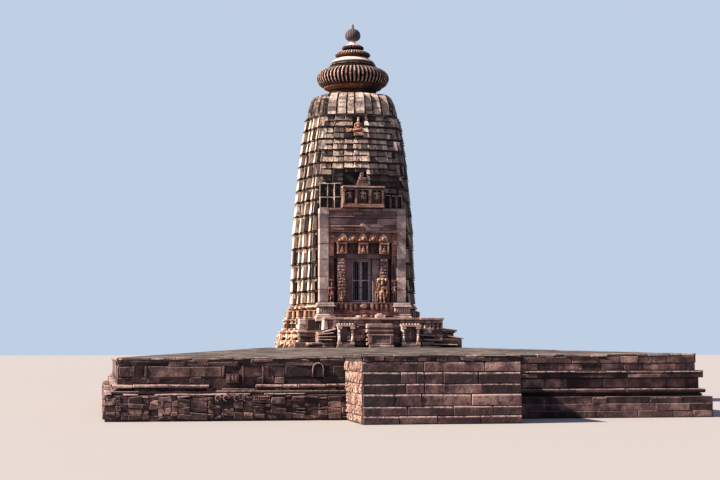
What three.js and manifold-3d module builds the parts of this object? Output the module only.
// A hindu temple: a curved stone tower over a small sanctum, on a broad ruined platform.
// Millimetres, +Z up. The origin is on the ground, under the tower's axis, and the door faces -Y.
import * as THREE from 'three';
import { mergeVertices } from 'three/addons/utils/BufferGeometryUtils.js';
import Module from 'manifold-3d';

const wasm = await Module();
wasm.setup();

// Room left between stones that touch
const gap = 0.3;

// Platform: its edges, and the heights of its layers
const platformLeft = -10600;
const platformRight = 10330;
const platformFront = -14500;
const platformBack = 7500;
const footingTop = 760;
const ledgeTop = 890;
const torusTop = 1040;
const recessTop = 1440;
const corniceTop = 1700;
const topCourseTop = 1980;
const pavingTop = 2500;
const pavingLip = 30;
// The rim has settled unevenly: its height at each corner
const rim = { frontLeft: 2150, frontRight: 2290, backLeft: 1990, backRight: 2150 };
// The level ground of the paving around the tower
const plateau = { left: -3520, right: 4300, front: -4900, back: 3600 };

// Landing: the block that stands forward of the platform's middle
const landingHalf = 2700;
const landingFront = -18000;
const landingCourse = 345;
const landingStep = 35;
const landingTop = 2285;
const landingSlab = 100;

// Tower: half its width at the wall's foot and head and at the crown, and the heights of its parts
const wallFootHalf = 2800;
const wallHeadHalf = 2705;
const crownHalf = 1930;
const porchTop = 3780;
const sanctumFloor = 4420;
const wallTop = 7720;
const storeyTops = [9620, 11300, 12880];
const towerTop = 13990;
const shoulderTop = 13900;
// Every storey of the curved tower ends in a thin sharp ledge
const ledgeHeights = [4980, 5560, 6230, 6930, 7600, 8370, 9010, 9560, 10090, 10660, 11220, 11730, 12280, 12800];
const ledgeDepth = 68;

// Sanctum: the chamber inside, and the doorway
const chamberHalf = 1250;
const chamberFront = -1100;
const chamberBack = 1400;
const doorHalf = 435;
const doorHead = 6390;
const frontWall = -2150;
const frameFront = -2690;

// Door frame, counted outwards from the doorway's middle
const plainBand = 760;
const figureBand = 1115;
const outerBand = 1270;
const frameHalf = 1500;
const pilasterOut = 1900;
const pilasterFoot = 1960;
const footFront = -2450;
const frontageTop = 8600;
const thresholdTop = 4470;

// Gate: two iron leaves that swing in
const gatePlane = -2110;
const gateBar = 40;
const gateFrameWidth = 45;
const gateGap = 12;
const pinRadius = 9;

const sandstoneRed = { color: 0x7a5349, roughness: 0.92, metalness: 0 };
const sandstoneBuff = { color: 0xa58d74, roughness: 0.9, metalness: 0 };
const sandstonePink = { color: 0x93695a, roughness: 0.9, metalness: 0 };
const sandstonePale = { color: 0xb9a593, roughness: 0.9, metalness: 0 };
const sandstoneGrey = { color: 0x8a8278, roughness: 0.9, metalness: 0 };
const paintedIron = { color: 0x3a3634, roughness: 0.55, metalness: 0.6 };

// Solids

function block(x0, x1, y0, y1, z0, z1) {
  const geometry = new THREE.BoxGeometry(x1 - x0, y1 - y0, z1 - z0);
  return geometry.translate((x0 + x1) / 2, (y0 + y1) / 2, (z0 + z1) / 2);
}

function prism(outline, z0, z1, rounding = 0) {
  const shape = new THREE.Shape(outline.map(([x, y]) => new THREE.Vector2(x, y)));
  const depth = z1 - z0 - 2 * rounding;
  const bevel = { bevelEnabled: rounding > 0, bevelThickness: rounding, bevelSize: rounding, bevelSegments: 3 };
  return new THREE.ExtrudeGeometry(shape, { depth, ...bevel }).translate(0, 0, z0 + rounding);
}

// An outline of half-size 1 carried up through levels, each a height and a half-size
function tiers(outline, levels) {
  const shape = new THREE.Shape(outline.map(([x, y]) => new THREE.Vector2(x, y)));
  const steps = levels.length - 1;
  const geometry = new THREE.ExtrudeGeometry(shape, { depth: steps, steps, bevelEnabled: false });
  const points = geometry.attributes.position;
  for (let i = 0; i < points.count; i += 1) {
    const [height, halfSize] = levels[Math.round(points.getZ(i))];
    points.setXYZ(i, points.getX(i) * halfSize, points.getY(i) * halfSize, height);
  }
  return geometry;
}

// A profile of radius and height spun about the tower's axis, with ribs where they are asked for
function turned(profile, segments, ribs = 0, ribDepth = 0) {
  const line = profile.map(([radius, height]) => new THREE.Vector2(radius, height));
  const geometry = new THREE.LatheGeometry(line, segments).rotateX(Math.PI / 2);
  const points = geometry.attributes.position;
  for (let i = 0; ribs > 0 && i < points.count; i += 1) {
    const angle = Math.atan2(points.getY(i), points.getX(i));
    const scale = 1 - ribDepth * (0.5 - 0.5 * Math.cos(ribs * angle));
    points.setXYZ(i, points.getX(i) * scale, points.getY(i) * scale, points.getZ(i));
  }
  return geometry;
}

function solid(geometry) {
  const bare = geometry.clone();
  bare.deleteAttribute('normal');
  bare.deleteAttribute('uv');
  const merged = mergeVertices(bare);
  const vertProperties = merged.attributes.position.array;
  const triVerts = new Uint32Array(merged.index.array);
  return new wasm.Manifold(new wasm.Mesh({ numProp: 3, vertProperties, triVerts }));
}

function geometryOf(manifold) {
  const { vertProperties, triVerts } = manifold.getMesh();
  const geometry = new THREE.BufferGeometry();
  geometry.setAttribute('position', new THREE.BufferAttribute(vertProperties, 3));
  geometry.setIndex(new THREE.BufferAttribute(triVerts, 1));
  geometry.computeVertexNormals();
  return geometry;
}

function join(...parts) {
  return geometryOf(parts.map(solid).reduce((sum, part) => sum.add(part)));
}

function cut(body, ...tools) {
  return geometryOf(tools.map(solid).reduce((sum, tool) => sum.subtract(tool), solid(body)));
}

function within(body, space) {
  return geometryOf(solid(body).intersect(solid(space)));
}

// The tower's stepped plan, half-size 1: each face's distance out and half its width, from the
// narrow middle spine to the corner
const planSteps = [[1, 0.115], [0.93, 0.29], [0.888, 0.5], [0.81, 0.71], [0.775, 0.775]];

function towerPlan() {
  const side = planSteps.flatMap(([out, half], i) => {
    const next = planSteps[i + 1];
    return next ? [[out, half], [next[0], half]] : [[out, half]];
  });
  const mirrored = side.slice(0, -1).reverse().map(([x, y]) => [y, x]);
  const quarter = [...side, ...mirrored];
  const turn = ([x, y]) => [-y, x];
  const second = quarter.map(turn);
  const third = second.map(turn);
  return [...quarter, ...second, ...third, ...third.map(turn)];
}

const plan = towerPlan();

// Half the tower's width at a height: nearly upright walls, then a curve in towards the crown
function towerHalf(height) {
  if (height <= wallTop) {
    return wallFootHalf + ((wallHeadHalf - wallFootHalf) * (height - sanctumFloor)) / (wallTop - sanctumFloor);
  }
  const rise = (height - wallTop) / (towerTop - wallTop);
  return wallHeadHalf - (wallHeadHalf - crownHalf) * (0.675 * rise + 0.325 * rise ** 3);
}

// The levels of the tower between two heights, with its storey ledges
function storeyLevels(low, high) {
  const face = (height) => [height, towerHalf(height) - ledgeDepth];
  const levels = [face(low)];
  for (const height of ledgeHeights.filter((h) => h > low + 120 && h < high - 40)) {
    levels.push(face(height - 110), [height, towerHalf(height)], face(height + 30));
  }
  levels.push(face(high));
  return levels;
}

const temple = new THREE.Group();
temple.name = 'hindu_temple';

function place(name, finish, geometry) {
  const mesh = new THREE.Mesh(geometry, new THREE.MeshStandardMaterial(finish));
  mesh.name = name;
  temple.add(mesh);
}

// Platform

// Its outline with the left part, the rest and the landing's place at their own distances out
function platformOutline(leftOut, rightOut) {
  const inner = landingHalf + gap;
  return [
    [platformLeft - leftOut, platformBack + rightOut],
    [platformLeft - leftOut, platformFront - leftOut],
    [-inner, platformFront - leftOut],
    [-inner, platformFront - pavingLip],
    [inner, platformFront - pavingLip],
    [inner, platformFront - rightOut],
    [platformRight + rightOut, platformFront - rightOut],
    [platformRight + rightOut, platformBack + rightOut],
  ];
}

function platform() {
  const ledge = prism(platformOutline(430, 150), footingTop + gap, ledgeTop);
  const torus = prism(platformOutline(190, 240), ledgeTop, torusTop, 55);
  place('platform_footing', sandstoneRed, prism(platformOutline(450, 480), 0, footingTop));
  const back = platformFront - pavingLip;
  const landingSpace = block(-landingHalf - gap, landingHalf + gap, landingFront, back, 0, recessTop);
  place('platform_torus', sandstoneRed, cut(join(ledge, torus), landingSpace));
  place('platform_recess', sandstoneRed, prism(platformOutline(40, 100), torusTop + gap, recessTop));
  place('platform_cornice', sandstoneRed, prism(platformOutline(0, 230), recessTop + gap, corniceTop));
  place('platform_top_course', sandstoneRed, prism(platformOutline(0, 0), corniceTop + gap, topCourseTop));
  place('platform_paving', sandstonePale, paving());
}

// The paving rises gently from the rim to the level ground around the tower
function paving() {
  const lip = pavingLip;
  const width = platformRight - platformLeft + 2 * lip;
  const depth = platformBack - platformFront + 2 * lip;
  const geometry = new THREE.BoxGeometry(width, depth, 2, 1, 1, 2);
  const points = geometry.attributes.position;
  for (let i = 0; i < points.count; i += 1) {
    const left = points.getX(i) < 0;
    const front = points.getY(i) < 0;
    const level = Math.round(points.getZ(i));
    const rimHeight = rim[(front ? 'front' : 'back') + (left ? 'Left' : 'Right')];
    const edgeX = left ? platformLeft - lip : platformRight + lip;
    const edgeY = front ? platformFront - lip : platformBack + lip;
    const x = level === 1 ? plateau[left ? 'left' : 'right'] : edgeX;
    const y = level === 1 ? plateau[front ? 'front' : 'back'] : edgeY;
    points.setXYZ(i, x, y, [topCourseTop + gap, rimHeight, pavingTop][level + 1]);
  }
  return geometry;
}

// Landing

const landingBack = platformFront - pavingLip - gap;

// Courses of blocks that each step out a little below the one above
function landing() {
  const slabLow = landingTop - landingSlab;
  const courses = [];
  for (let z1 = slabLow - gap, i = 1; z1 > 0; z1 -= landingCourse, i += 1) {
    const z0 = Math.max(z1 - landingCourse, 0);
    courses.push(block(-landingHalf, landingHalf, landingFront - i * landingStep, landingBack, z0, z1));
  }
  const slab = block(-landingHalf - 40, landingHalf + 40, landingFront - 60, landingBack, slabLow, landingTop);
  place('landing_courses', sandstoneRed, join(...courses));
  place('landing_paving', sandstonePale, slab);
}

// Foot of the tower

const lostFace = -2570;
const porchLeft = -1750;

function towerFoot() {
  const foot = pavingTop + gap;
  const lowerTop = 2880;
  const middleTop = 3300;
  const upper = tiers(plan, [
    [middleTop + gap, 3150], [3360, 3150], [3400, 3060], [3640, 3060], [3690, 3120], [porchTop, 3040],
  ]);
  const plinth = tiers(plan, [
    [porchTop + gap, 3010], [4120, 2960], [4160, 2830], [4230, 2830], [4290, 2870], [sanctumFloor, 2760],
  ]);
  // At the front left the tier's facing is gone, and a plain block of masonry shows
  const lostFacing = block(-4000, lostFace, -4000, -700, middleTop, porchTop + gap);
  const bareBlock = block(lostFace, porchLeft - gap, -3110, -2200, middleTop + gap, porchTop - 30);
  const doorway = block(-pilasterFoot - gap, pilasterFoot + gap, -4000, footFront, 3000, 5000);
  place('foot_lower_tier', sandstoneBuff, tiers(plan, [
    [foot, 3450], [2620, 3450], [2670, 3370], [2790, 3370], [2830, 3410], [lowerTop, 3360],
  ]));
  place('foot_middle_tier', sandstoneBuff, tiers(plan, [
    [lowerTop + gap, 3290], [3150, 3220], [3190, 3290], [3240, 3290], [middleTop, 3190],
  ]));
  place('foot_upper_tier', sandstoneBuff, join(cut(upper, lostFacing), bareBlock));
  place('sanctum_plinth', sandstoneBuff, cut(plinth, doorway));
}

// Porch: what is left of it in front of the tower

// A small shrine with a niche between two pillars
function nicheShrine(x0, x1, y0, y1) {
  const base = 2500 + gap;
  const nicheLow = 2760;
  const nicheHigh = 3400;
  const pillar = 130;
  const recess = 230;
  const body = join(
    block(x0, x1, y0 + 60, y1, base, 3440),
    block(x0 - 40, x1 + 40, y0, y1, base, 2600),
    block(x0 - 20, x1 + 20, y0 + 20, y1, 2660, nicheLow - 30),
    block(x0 - 50, x1 + 50, y0 - 20, y1, 3440, 3530),
  );
  return cut(body, block(x0 + pillar, x1 - pillar, y0 - 100, y0 + recess, nicheLow, nicheHigh));
}

function porch() {
  const right = 3220;
  const front = -4150;
  const back = -3460;
  const floorLow = 3700;
  const base = pavingTop + gap;
  const core = join(
    block(porchLeft, right, front, back, base, floorLow - gap),
    block(-2175, porchLeft + 1, front - 50, back, 2620, 3100),
    block(-2600, 2200, front - 100, back, 2620, 2740),
    block(-2430, 2200, front - 60, back, base, 2620),
  );
  const steps = join(
    block(-60, 980, -4720, front - 100 - gap, base, 2640),
    block(-110, 980, -4660, front - 100 - gap, 2640, 3250),
    block(-130, 960, -4600, front - 100 - gap, 3250, 3520),
  );
  const sideBlocks = join(
    block(right + gap, 3740, -3950, -2750, base, 3150),
    block(right + gap, 3790, -4000, -2750, 3150, 3240),
    block(right + gap, 4080, -4050, -2700, base, 2850),
  );
  place('porch_core', sandstonePink, core);
  place('porch_steps', sandstonePink, steps);
  place('niche_shrine_left', sandstoneGrey, nicheShrine(-1380, -700, -4560, front - 100 - gap));
  place('niche_shrine_right', sandstonePink, nicheShrine(1370, 2130, -4560, front - 100 - gap));
  place('porch_side_blocks', sandstonePink, sideBlocks);
  place('porch_floor', sandstonePale, block(-1930, right + 30, front - 80, -3160, floorLow, porchTop));
}

// Walls of the sanctum

function wallRing() {
  return tiers(plan, storeyLevels(sanctumFloor + gap, wallTop));
}

function sanctumWalls() {
  const far = 4000;
  const low = sanctumFloor - 100;
  const high = wallTop + 100;
  const ring = wallRing();
  const frontage = block(-pilasterOut - gap, pilasterOut + gap, -far, frontWall, low, high);
  const rest = cut(ring, frontage);
  const inner = chamberHalf - gap;
  const left = within(rest, block(-far, -chamberHalf, -far, far, low, high));
  const right = within(rest, block(chamberHalf, far, -far, far, low, high));
  const back = within(rest, block(-inner, inner, chamberBack, far, low, high));
  const frontLeft = within(rest, block(-inner, -doorHalf, -far, chamberFront, low, doorHead - gap));
  const frontRight = within(rest, block(doorHalf, inner, -far, chamberFront, low, doorHead - gap));
  const over = within(rest, block(-inner, inner, -far, chamberFront, doorHead, high));
  place('wall_left', sandstoneBuff, left);
  place('wall_right', sandstoneBuff, right);
  place('wall_back', sandstoneBuff, back);
  place('front_wall_left', sandstonePink, frontLeft);
  place('front_wall_right', sandstonePink, frontRight);
  place('wall_over_door', sandstonePink, over);
}

// Doorway

const frameBack = frontWall - gap;

// A block between two distances from the middle, on the left (-1) or the right (1)
function sideBlock(side, near, far, front, back, z0, z1) {
  const [x0, x1] = side < 0 ? [-far, -near] : [near, far];
  return block(x0, x1, front, back, z0, z1);
}

function doorJamb(side) {
  const band = (near, far, front) =>
    sideBlock(side, near, far, front, frameBack, thresholdTop + gap, doorHead - gap);
  return join(
    band(doorHalf, frameHalf, frameFront + 280),
    band(doorHalf, plainBand, frameFront + 120),
    band(plainBand, figureBand, frameFront + 20),
    band(outerBand, frameHalf, frameFront + 50),
  );
}

// The lintel over the door, with three small shrines and a row of pediments above them
function doorLintel() {
  const shrineLow = doorHead + 200;
  const shrineTop = 7090;
  const pedimentTop = 7490;
  const beam = (half, front, z0, z1) => block(-half, half, front, frameBack, z0, z1);
  const shrines = [-930, 0, 930].map((x) =>
    block(x - 210, x + 210, frameFront - 70, frameBack, shrineLow, shrineTop));
  return join(
    beam(frameHalf, frameFront + 120, doorHead, pedimentTop),
    beam(figureBand, frameFront + 40, doorHead, shrineLow),
    beam(outerBand, frameFront - 20, shrineTop, pedimentTop),
    ...shrines,
  );
}

// Plain courses between the pediments and the pavilion
function frontMasonry() {
  const bands = [[7490, 7760, 70], [7760, 7850, 20], [7850, 8180, 60], [8180, 8260, 10], [8260, frontageTop, 50]];
  return join(...bands.map(([z0, z1, back], i) =>
    block(-frameHalf, frameHalf, frameFront + back, frameBack, i === 0 ? z0 + gap : z0, z1)));
}

function pilaster(side) {
  const at = (far, front, z0, z1, back = footFront - gap) =>
    sideBlock(side, frameHalf + gap, far, front, back, z0, z1);
  return join(
    at(pilasterOut, frameFront + 20, sanctumFloor + gap, frontageTop, frameBack),
    at(pilasterFoot, frameFront - 170, porchTop + gap, 3990),
    at(pilasterOut, frameFront - 100, 3990, 4380),
    at(pilasterFoot, frameFront - 150, 4380, thresholdTop),
  );
}

function doorway() {
  const sill = (front, z0, z1) => block(-frameHalf, frameHalf, front, footFront - gap, z0, z1);
  place('door_threshold', sandstoneRed, join(
    sill(-3100, porchTop + gap, 3860),
    sill(-3050, 3860, 4000),
    sill(-2980, 4000, 4080),
    sill(-2930, 4080, thresholdTop),
    block(-frameHalf, frameHalf, -2930, frameBack, sanctumFloor + gap, thresholdTop),
  ));
  place('door_jamb_left', sandstonePink, doorJamb(-1));
  place('door_jamb_right', sandstonePink, doorJamb(1));
  place('door_lintel', sandstonePink, doorLintel());
  place('front_masonry', sandstonePink, frontMasonry());
  place('pilaster_left', sandstoneGrey, pilaster(-1));
  place('pilaster_right', sandstoneGrey, pilaster(1));
}

// Gate

const gateLow = sanctumFloor + gap;
const gateHigh = doorHead - gap;
const leafLow = 4550;
const leafHigh = gateHigh - gateFrameWidth - 20;
const opening = doorHalf - gap;
const pinInset = gateFrameWidth + 28;

// The fixed iron frame, with a lug under each leaf for its pivot pin
function gateFrame() {
  const y0 = gatePlane - gateBar / 2;
  const y1 = gatePlane + gateBar / 2;
  return join(
    block(-opening, -opening + gateFrameWidth, y0, y1, gateLow, gateHigh),
    block(opening - gateFrameWidth, opening, y0, y1, gateLow, gateHigh),
    block(-opening, opening, y0, y1, gateHigh - gateFrameWidth, gateHigh),
    block(-opening, opening, y0, y1, gateLow, leafLow - 20),
  );
}

// One leaf: stiles, three rails and upright bars, hung on pins at its outer stile
function gateLeaf(side) {
  const stile = 42;
  const y0 = gatePlane - 15;
  const y1 = gatePlane + 15;
  const outer = side * (opening - gateFrameWidth - gateGap);
  const inner = side * (gateGap / 2);
  const across = (from, to, z0, z1) => block(Math.min(from, to), Math.max(from, to), y0, y1, z0, z1);
  const pinAt = side * (opening - pinInset);
  const pin = (low, high) => {
    const shaft = new THREE.CylinderGeometry(pinRadius, pinRadius, high - low, 12).rotateX(Math.PI / 2);
    return shaft.translate(pinAt, gatePlane, (low + high) / 2);
  };
  const railHeights = [leafLow, 5440, leafHigh - stile];
  const width = Math.abs(outer - inner);
  const bars = [1, 2, 3].map((i) => {
    const x = outer - (side * width * i) / 4;
    return block(x - 7, x + 7, gatePlane - 7, gatePlane + 7, leafLow + 10, leafHigh - 10);
  });
  return join(
    across(outer, outer - side * stile, leafLow, leafHigh),
    across(inner, inner + side * stile, leafLow, leafHigh),
    ...railHeights.map((z) => across(outer, inner, z, z + stile)),
    ...bars,
    pin(leafLow - 20 + gap, leafLow + 10),
    pin(leafHigh - 10, gateHigh - gateFrameWidth - gap),
  );
}

function gate() {
  place('gate_frame', paintedIron, gateFrame());
  place('gate_leaf_left', paintedIron, gateLeaf(-1));
  place('gate_leaf_right', paintedIron, gateLeaf(1));
}

// Curved tower

function shikhara() {
  const pavilion = { x0: -910, x1: 910, z0: frontageTop + 20, front: -2900, back: -2250 };
  const figure = { x0: -260, x1: 50, z0: 11850, z1: 12680, back: -1950 };
  const [first, second, third] = storeyTops;
  const one = tiers(plan, storeyLevels(wallTop + gap, first));
  const two = tiers(plan, storeyLevels(first + gap, second));
  const three = tiers(plan, storeyLevels(second + gap, third));
  const frontage = block(-pilasterOut - gap, pilasterOut + gap, -4000, frontWall, 7000, frontageTop + gap);
  const pavilionSpace = block(pavilion.x0 - gap, pavilion.x1 + gap, -4000, pavilion.back, frontageTop, 9700);
  const lostStones = block(-800, 250, -4000, -2120, 9660, 10240);
  const figureSpace = block(figure.x0 - gap, figure.x1 + gap, -4000, figure.back, figure.z0 - gap, figure.z1 + gap);
  place('shikhara_storey_1', sandstoneBuff, cut(one, frontage, pavilionSpace));
  place('shikhara_storey_2', sandstoneBuff, cut(two, lostStones));
  place('shikhara_storey_3', sandstoneBuff, cut(three, figureSpace));
  place('shikhara_shoulder', sandstoneBuff, tiers(plan, [
    [third + gap, 2000], [13230, 1955], [13540, 1865], [13710, 1795], [13790, 1710], [13860, 1530],
    [shoulderTop, 1250],
  ]));
  place('front_pavilion', sandstoneBuff, frontPavilion(pavilion));
  place('seated_figure', sandstonePale, seatedFigure(figure));
}

// A small pavilion of three niches over the door, under one roof slab
function frontPavilion({ x0, x1, z0, front, back }) {
  const y1 = back - gap;
  const nicheLow = z0 + 200;
  const nicheHigh = 9430;
  const pitch = (x1 - x0) / 3;
  const body = join(
    block(x0, x1, front + 120, y1, z0, 9560),
    block(x0, x1, front + 60, y1, z0, z0 + 90),
    block(x0, x1, front, y1, 9470, 9560),
  );
  const niches = [0, 1, 2].map((i) => {
    const middle = x0 + pitch * (i + 0.5);
    return block(middle - pitch * 0.36, middle + pitch * 0.36, -4000, front + 290, nicheLow, nicheHigh);
  });
  return cut(body, ...niches);
}

// A small seated figure on a bracket
function seatedFigure({ x0, x1, z0, z1, back }) {
  const middle = (x0 + x1) / 2;
  const lump = (z, rx, ry, rz) => new THREE.SphereGeometry(1, 10, 8).rotateX(Math.PI / 2)
    .scale(rx, ry, rz).translate(middle, back - 140, z);
  return join(
    block(x0, x1, back - 300, back - gap, z0, z0 + 120),
    block(x0 + 60, x1 - 60, back - 110, back - gap, z0, z1 - 60),
    lump(z0 + 210, 150, 140, 120),
    lump(z0 + 420, 105, 95, 190),
    lump(z0 + 680, 70, 75, 95),
  );
}

// Crown

function crown() {
  const base = shoulderTop + gap;
  place('tower_neck', sandstonePink, turned([[0, base], [1060, base], [1060, 14210], [0, 14210]], 48));
  place('large_amalaka', sandstonePink, turned([
    [0, 14210 + gap], [1110, 14210 + gap], [1330, 14330], [1560, 14480], [1655, 14680], [1640, 14860],
    [1520, 15040], [1290, 15170], [900, 15220], [0, 15220],
  ], 96, 48, 0.035));
  place('crown_discs', sandstonePink, turned([
    [0, 15220 + gap], [880, 15220 + gap], [1130, 15260], [1130, 15310], [980, 15370], [1035, 15420],
    [1035, 15470], [760, 15590], [760, 15730], [0, 15730],
  ], 48));
  place('small_amalaka', sandstonePink, turned([
    [0, 15730 + gap], [620, 15730 + gap], [770, 15780], [800, 15870], [740, 15970], [500, 16050], [0, 16050],
  ], 64, 32, 0.05));
  place('finial_pot', sandstoneGrey, turned([
    [0, 16050 + gap], [360, 16050 + gap], [505, 16150], [505, 16240], [330, 16350], [180, 16380], [150, 16520],
    [250, 16560], [345, 16680], [355, 16800], [310, 16950], [180, 17080], [70, 17130], [55, 17320], [0, 17340],
  ], 32));
}

platform();
landing();
towerFoot();
porch();
sanctumWalls();
doorway();
gate();
shikhara();
crown();

export default temple;
